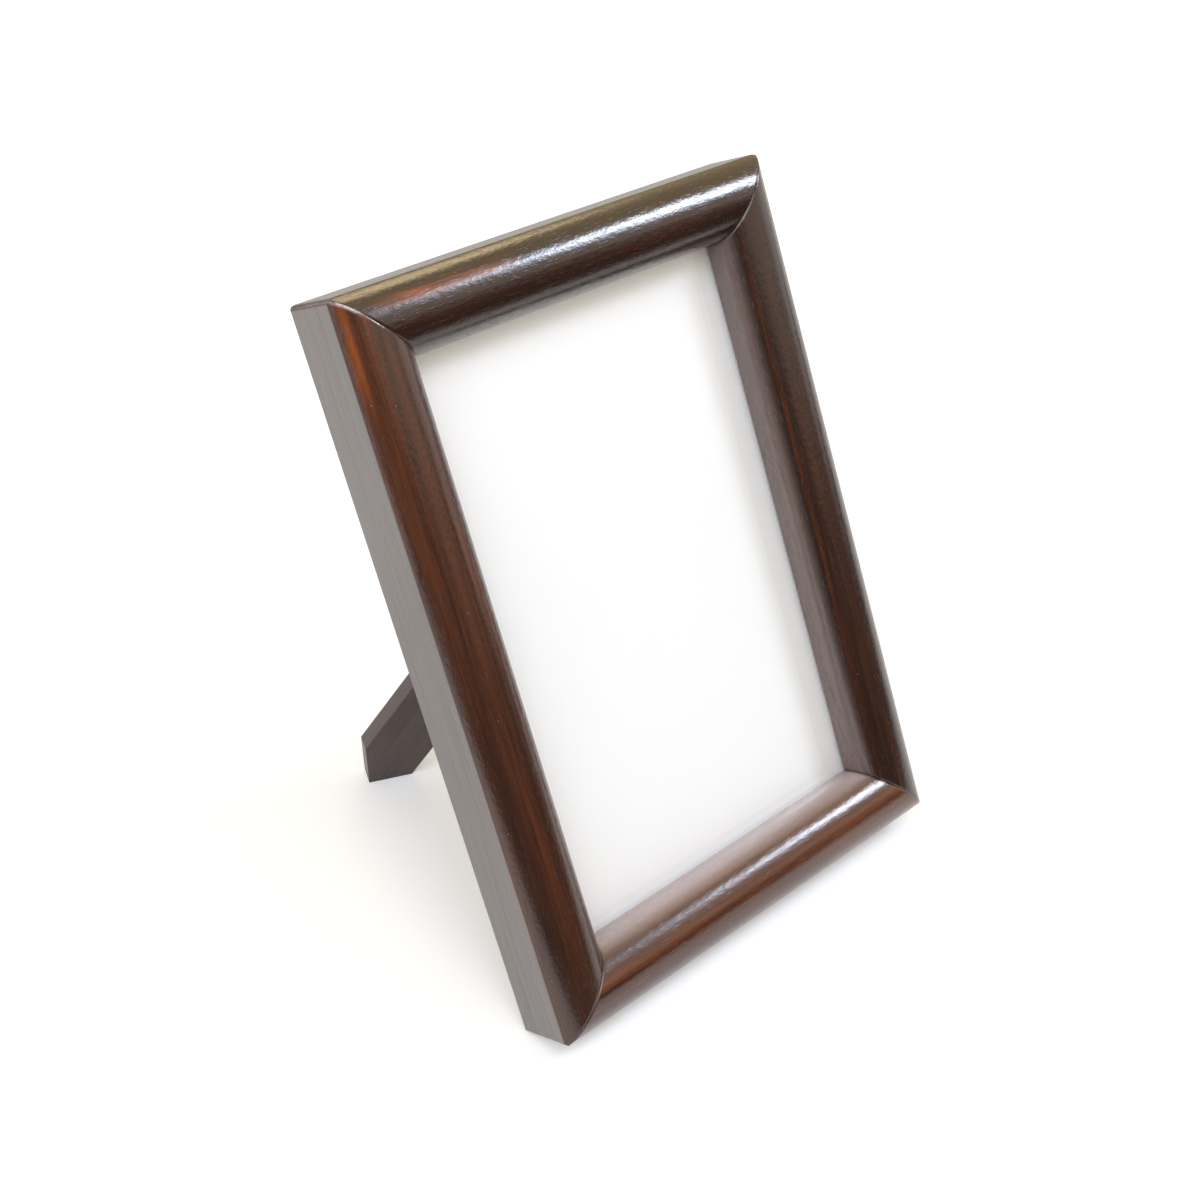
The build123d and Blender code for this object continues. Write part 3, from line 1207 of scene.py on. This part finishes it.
@dataclass
class Studio:
    """A white sweep, soft boxes and the camera.

    Attributes:
        aim: The point in the middle of the view.
        camera_azimuth: The camera's direction round the frame, 0 in front.
        camera_elevation: Its height above the horizon in degrees.
        camera_roll: How far its picture leans, in degrees.
        camera_distance: From the aim to the camera.
        lens: The camera's focal length in millimetres.
        sensor: The width of its sensor in millimetres.
        nearest: The nearest distance that it shows.
        floor_size: Side of the square floor.
        floor_colour: Its own colour.
        floor_lift: What makes the lit floor look white to the camera.
        floor_reach: How far in front of the frame gloss still sees the floor.
        floor_near: How far from the frame the lit floor starts to fade to plain white.
        floor_far: Where it is plain white.
        ambience: Strength of the light from all round.
        ambient_colour: Its colour.
        dark_room: The colour of the dark part of the room, low in front.
        dark_azimuth: Its direction, 0 in front.
        wall_edges: Where a wall starts and where it is full, as cosines from its middle.
        dark_pole: The way that its height is measured along, as azimuth and elevation.
        dark_rise: Where it ends and where it is fully dark, as sines of that height.
        warm_ceiling: The colour of the room above the dark part.
        warm_wall: The colour of the room behind the frame.
        warm_azimuth: The direction of that wall.
        warm_rise: Where it starts and where it is fully warm, as sines of the height.
        boxes: The soft boxes.
    """

    aim: Vector = field(default_factory=lambda: Vector((-0.0054, 0.0031, 0.0761)))
    camera_azimuth: float = -45.15
    camera_elevation: float = 36.77
    camera_roll: float = 3.99
    camera_distance: float = 0.4485
    lens: float = 54.03
    sensor: float = 36.0
    nearest: float = 0.01
    floor_size: float = 6.0
    floor_colour: Colour = (0.9, 0.9, 0.9)
    floor_lift: float = 0.22
    floor_reach: float = 0.21
    floor_near: float = 0.25
    floor_far: float = 0.9
    ambience: float = 0.52
    ambient_colour: Colour = (1.0, 0.86, 0.60)
    dark_room: Colour = (0.06, 0.05, 0.04)
    dark_azimuth: float = -12.0
    wall_edges: Pair = (0.28, 0.50)
    dark_pole: Pair = (90.0, 80.0)
    dark_rise: Pair = (0.38, 0.25)
    warm_ceiling: Colour = (1.0, 0.78, 0.62)
    warm_wall: Colour = (1.0, 0.78, 0.45)
    warm_azimuth: float = 125.0
    warm_rise: Pair = (0.05, 0.35)
    boxes: tuple[SoftBox, ...] = (
        SoftBox("window_right", 65, 42, 2.5, 0.55, 25.0, (0.765, 0.85, 1.0)),
        SoftBox("box_front_left", -45, 58, 1.6, 1.2, 15.4, (0.80, 0.865, 1.0)),
        SoftBox("box_left", -85, 32, 1.6, 0.9, 7.0, (0.80, 0.865, 1.0)),
        SoftBox("box_rear", 138, 44, 1.6, 0.4, 2.2, (1.0, 0.80, 0.50)),
    )

    def build(self) -> None:
        """Makes the floor, the surroundings, the soft boxes and the camera."""
        self.build_floor()
        self.build_surroundings()
        for box in self.boxes:
            box.build(self.aim)
        self.build_camera()

    def build_floor(self) -> None:
        """Makes the pale floor, which shows white and still takes a faint shadow."""
        half = self.floor_size / 2
        mesh = bpy.data.meshes.new("floor")
        corners = [(-half, -half, 0), (half, -half, 0), (half, half, 0), (-half, half, 0)]
        mesh.from_pydata(corners, [], [(0, 1, 2, 3)])
        floor = bpy.data.objects.new("floor", mesh)
        bpy.context.collection.objects.link(floor)
        graph = Graph.for_material("white_floor")
        matt = graph.shader("ShaderNodeBsdfDiffuse", {"Color": (*self.floor_colour, 1.0)})
        lift = graph.glow("ShaderNodeEmission", WHITE, self.floor_lift)
        lifted = graph.shader("ShaderNodeAddShader", {0: matt, 1: lift})
        dim = graph.glow("ShaderNodeEmission", self.dark_room)
        plain = graph.glow("ShaderNodeEmission", WHITE)
        sideways, back, _ = graph.split(graph.place())
        near = back.rise(-self.floor_reach, -self.floor_reach / 2)
        mirrored = graph.either(near, dim, matt)
        lit = graph.either(graph.seen_by("Is Glossy Ray"), matt, mirrored)
        far = (sideways * sideways + back * back).rise(self.floor_near**2, self.floor_far**2)
        pale = graph.either(far, lifted, plain)
        seen = graph.seen_by("Is Camera Ray", "Is Transmission Ray")
        material = graph.end("ShaderNodeOutputMaterial", graph.either(seen, lit, pale))
        mesh.materials.append(material)
        LOG.info("floor: %.1f m square", self.floor_size)

    def build_surroundings(self) -> None:
        """Makes the soft light from all round, and the room that the gloss sees.

        The camera sees it white. To the gloss it is dark low in front, so that the lacquer keeps
        its depth there, and warm above that and behind the frame.
        """
        graph = Graph(bpy.data.worlds.new("surroundings"))
        ways = graph.place("Generated")
        front = graph.facing(ways, direction(self.dark_azimuth, 0)).rise(*self.wall_edges)
        rear = graph.facing(ways, direction(self.warm_azimuth, 0)).rise(*self.wall_edges)
        high = graph.split(ways)[2].rise(*self.warm_rise)
        low = graph.facing(ways, direction(*self.dark_pole)).rise(*self.dark_rise)
        walls = graph.blend(rear * high, WHITE, self.warm_wall)
        walls = graph.blend(front, walls, self.warm_ceiling)
        walls = graph.blend(front * low, walls, self.dark_room)
        room = graph.shader("ShaderNodeBackground", {"Color": walls, "Strength": 1.0})
        white = graph.glow("ShaderNodeBackground", WHITE)
        soft = graph.glow("ShaderNodeBackground", self.ambient_colour, self.ambience)
        lit = graph.either(graph.seen_by("Is Glossy Ray"), soft, room)
        seen = graph.seen_by("Is Camera Ray", "Is Transmission Ray")
        world = graph.end("ShaderNodeOutputWorld", graph.either(seen, lit, white))
        bpy.context.scene.world = world
        LOG.info("surroundings: strength %.2f", self.ambience)

    def build_camera(self) -> None:
        """Makes the camera at the photograph's viewing angle."""
        data = bpy.data.cameras.new("camera")
        data.lens = self.lens
        data.sensor_width = self.sensor
        data.clip_start = self.nearest
        camera = bpy.data.objects.new("camera", data)
        away = direction(self.camera_azimuth, self.camera_elevation)
        look = away.to_track_quat("Z", "Y").to_matrix()
        lean = Matrix.Rotation(math.radians(self.camera_roll), 3, away)
        camera.matrix_world = (lean @ look).to_4x4()
        camera.location = self.aim + away * self.camera_distance
        bpy.context.collection.objects.link(camera)
        bpy.context.scene.camera = camera
        bpy.context.scene.view_settings.view_transform = "Standard"
        LOG.info("camera: %.2f m away", self.camera_distance)


def main() -> None:
    """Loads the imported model, dresses its sub-assemblies in order, and sets the studio up."""
    logging.basicConfig(level=logging.INFO, format="%(message)s")
    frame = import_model()
    nodes = frame["nodes"]
    stance = Stance({joint["name"]: joint for joint in frame["joints"]})
    for assembly in (MouldingFrame(), GlazedPrint(), BackClosure(), EaselStand()):
        assembly.dress(nodes, stance)
    Studio().build()


if __name__ == "__main__":
    main()
